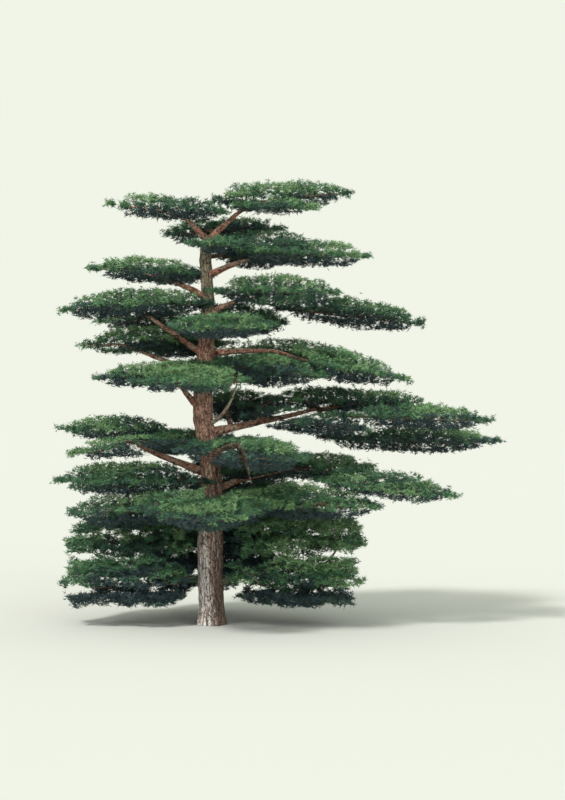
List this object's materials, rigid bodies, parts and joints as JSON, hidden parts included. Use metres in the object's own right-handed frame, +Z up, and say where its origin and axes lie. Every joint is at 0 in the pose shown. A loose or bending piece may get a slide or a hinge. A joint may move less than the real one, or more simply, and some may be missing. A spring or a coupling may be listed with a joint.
{
  "type": "cedar tree",
  "caption": "Mature cedar with a leaning trunk forked near its top, long tapering boughs and flat tiers of dark green needles, longest on one side; rooted in the ground.",
  "frame": {"origin": "middle of the flat cut under the trunk, at ground level", "axes": "+Z up the tree, +X towards its longest boughs, -Y towards the viewer"},
  "size_m": [20.0524, 15.4495, 19.976],
  "materials": {
    "bark": "rough, scaly",
    "needles": "matte"
  },
  "bodies": {
    "root": {"trunk": "bark", "leader_left": "bark", "leader_right": "bark", "bough_third_right": "bark", "bough_fourth_left": "bark", "bough_fifth_right": "bark", "bough_sixth_left": "bark", "bough_sixth_front": "bark", "bough_seventh_left": "bark", "bough_eighth_right": "bark", "bough_ninth_left": "bark", "bough_ninth_front": "bark", "bough_ninth_back": "bark", "bough_tenth_right": "bark", "bough_eleventh_left": "bark", "bough_eleventh_front": "bark", "bough_eleventh_back": "bark", "bough_thirteenth_right": "bark", "bough_lower_front": "bark", "bough_lower_back": "bark", "crown_top": "needles", "top_left": "needles", "upper_left_back": "needles", "upper_right_back": "needles", "third_right": "needles", "third_front": "needles", "third_back": "needles", "fourth_left": "needles", "fourth_back": "needles", "fifth_right": "needles", "fifth_right_outer": "needles", "fifth_back": "needles", "sixth_left": "needles", "sixth_front": "needles", "seventh_left": "needles", "seventh_back": "needles", "eighth_right": "needles", "ninth_left": "needles", "ninth_right": "needles", "ninth_front": "needles", "ninth_back": "needles", "tenth_right": "needles", "tenth_right_outer": "needles", "tenth_right_low": "needles", "tenth_right_inner": "needles", "tenth_back": "needles", "eleventh_left": "needles", "eleventh_front": "needles", "eleventh_back": "needles", "twelfth_left": "needles", "twelfth_back": "needles", "thirteenth_right": "needles", "thirteenth_right_outer": "needles", "lower_right": "needles", "lower_left": "needles", "lower_front": "needles", "lower_back": "needles", "skirt_left": "needles", "skirt_right": "needles", "skirt_back": "needles"}
  },
  "joints": []
}
